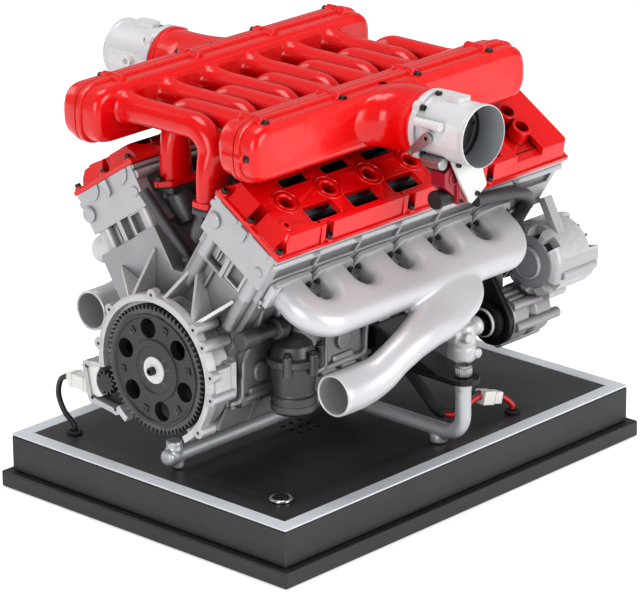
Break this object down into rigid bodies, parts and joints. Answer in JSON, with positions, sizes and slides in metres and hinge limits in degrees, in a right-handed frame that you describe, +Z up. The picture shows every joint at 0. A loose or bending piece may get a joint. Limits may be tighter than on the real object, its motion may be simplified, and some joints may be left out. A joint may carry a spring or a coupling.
{
  "type": "four stroke engine model",
  "caption": "Motorised display model of a V-twelve four-stroke engine with crossed intake runners and red covers, held by a tube stand on a bordered plinth with a push button.",
  "frame": {"origin": "centre of the plinth's underside", "axes": "+X along the crankshaft away from the flywheel, +Y towards the far bank, +Z up"},
  "size_m": [0.3011, 0.268, 0.2462],
  "materials": {
    "red_paint": "glossy red paint",
    "cast_aluminium": "satin light grey casting",
    "dark_casting": "satin mid grey casting",
    "gunmetal": "satin dark grey casting",
    "silver_paint": "satin silver",
    "black_plastic": "satin black",
    "black_metal": "satin anthracite",
    "steel": "bright steel",
    "white_plastic": "satin white",
    "border_white": "satin pale grey",
    "rubber": "matt black",
    "red_plastic": "satin dark red",
    "board_green": "satin green"
  },
  "bodies": {
    "base": {"plinth_lower": "black_plastic", "plinth_upper": "black_plastic", "plinth_border": "border_white", "plinth_panel": "black_plastic", "button_bezel": "steel", "grommet_front": "rubber", "grommet_rear": "rubber", "speaker": "black_plastic", "control_board": "board_green", "stand_frame": "silver_paint", "mount_bracket_near": "black_metal", "mount_bracket_far": "black_metal", "mount_nut_near": "steel", "mount_nut_far": "steel", "engine_block": "dark_casting", "sump": "dark_casting", "bell_housing": "cast_aluminium", "timing_cover": "cast_aluminium", "drive_motor": "white_plastic", "motor_nose": "black_plastic", "head_near": "cast_aluminium", "head_far": "cast_aluminium", "valve_cover_near": "red_paint", "valve_cover_far": "red_paint", "exhaust_near": "silver_paint", "exhaust_far": "silver_paint", "plenum_tub_near": "red_paint", "plenum_tub_far": "red_paint", "plenum_lid_near": "red_paint", "plenum_lid_far": "red_paint", "lower_intake_near": "gunmetal", "lower_intake_far": "gunmetal", "throttle_body_near": "silver_paint", "throttle_body_far": "silver_paint", "throttle_actuator": "red_plastic", "alternator_body": "silver_paint", "compressor_body": "cast_aluminium", "compressor_plate": "black_metal", "coolant_pump": "silver_paint", "oil_filter": "dark_casting", "side_pipe": "dark_casting", "valley_pipe": "gunmetal", "lead_front": "rubber", "connector_front": "white_plastic", "lead_rear": "rubber", "connector_rear": "white_plastic"},
    "crank": {"crankshaft": "steel", "flywheel": "black_metal", "crank_pulley": "black_metal"},
    "pinion": {"drive_pinion": "black_metal"},
    "alternator_rotor": {"alternator_rotor": "black_metal"},
    "compressor_rotor": {"compressor_hub": "black_metal"},
    "cam_near_exhaust": {"camshaft_near_exhaust": "steel"},
    "cam_near_intake": {"camshaft_near_intake": "steel"},
    "cam_far_exhaust": {"camshaft_far_exhaust": "steel"},
    "cam_far_intake": {"camshaft_far_intake": "steel"},
    "throttle_near": {"throttle_plate_near": "steel"},
    "throttle_far": {"throttle_plate_far": "steel"},
    "button": {"button_cap": "black_metal"}
  },
  "joints": [
    {"name": "crank_spin", "type": "hinge", "parent": "base", "child": "crank", "pos_m": [0, 0, 0.0937], "axis": [1, 0, 0], "continuous": true},
    {"name": "pinion_spin", "type": "hinge", "parent": "base", "child": "pinion", "pos_m": [0, 0.03919, 0.07625], "axis": [1, 0, 0], "continuous": true},
    {"name": "alternator_spin", "type": "hinge", "parent": "base", "child": "alternator_rotor", "pos_m": [0, -0.0666, 0.1095], "axis": [1, 0, 0], "continuous": true},
    {"name": "compressor_spin", "type": "hinge", "parent": "base", "child": "compressor_rotor", "pos_m": [0, -0.0521, 0.0754], "axis": [1, 0, 0], "continuous": true},
    {"name": "cam_near_exhaust_spin", "type": "hinge", "parent": "base", "child": "cam_near_exhaust", "pos_m": [0, -0.06642, 0.1747], "axis": [1, 0, 0], "continuous": true},
    {"name": "cam_near_intake_spin", "type": "hinge", "parent": "base", "child": "cam_near_intake", "pos_m": [0, -0.04534, 0.18813], "axis": [1, 0, 0], "continuous": true},
    {"name": "cam_far_exhaust_spin", "type": "hinge", "parent": "base", "child": "cam_far_exhaust", "pos_m": [0, 0.06642, 0.1747], "axis": [1, 0, 0], "continuous": true},
    {"name": "cam_far_intake_spin", "type": "hinge", "parent": "base", "child": "cam_far_intake", "pos_m": [0, 0.04534, 0.18813], "axis": [1, 0, 0], "continuous": true},
    {"name": "throttle_near_turn", "type": "hinge", "parent": "base", "child": "throttle_near", "pos_m": [-0.017, -0.113, 0.2266], "axis": [-1, 0, 0], "range_deg": [0, 80]},
    {"name": "throttle_far_turn", "type": "hinge", "parent": "base", "child": "throttle_far", "pos_m": [-0.0216, 0.113, 0.2266], "axis": [1, 0, 0], "range_deg": [0, 80]},
    {"name": "button_press", "type": "slide", "parent": "base", "child": "button", "axis": [0, 0, -1], "range_m": [0, 0.0015], "stiffness_N_per_m": 400, "springref_m": -0.001}
  ],
  "couplings": [
    {"joint": "pinion_spin", "follows": "crank_spin", "ratio": -6},
    {"joint": "cam_near_exhaust_spin", "follows": "crank_spin", "ratio": 0.5},
    {"joint": "cam_near_intake_spin", "follows": "crank_spin", "ratio": 0.5},
    {"joint": "cam_far_exhaust_spin", "follows": "crank_spin", "ratio": 0.5},
    {"joint": "cam_far_intake_spin", "follows": "crank_spin", "ratio": 0.5}
  ]
}
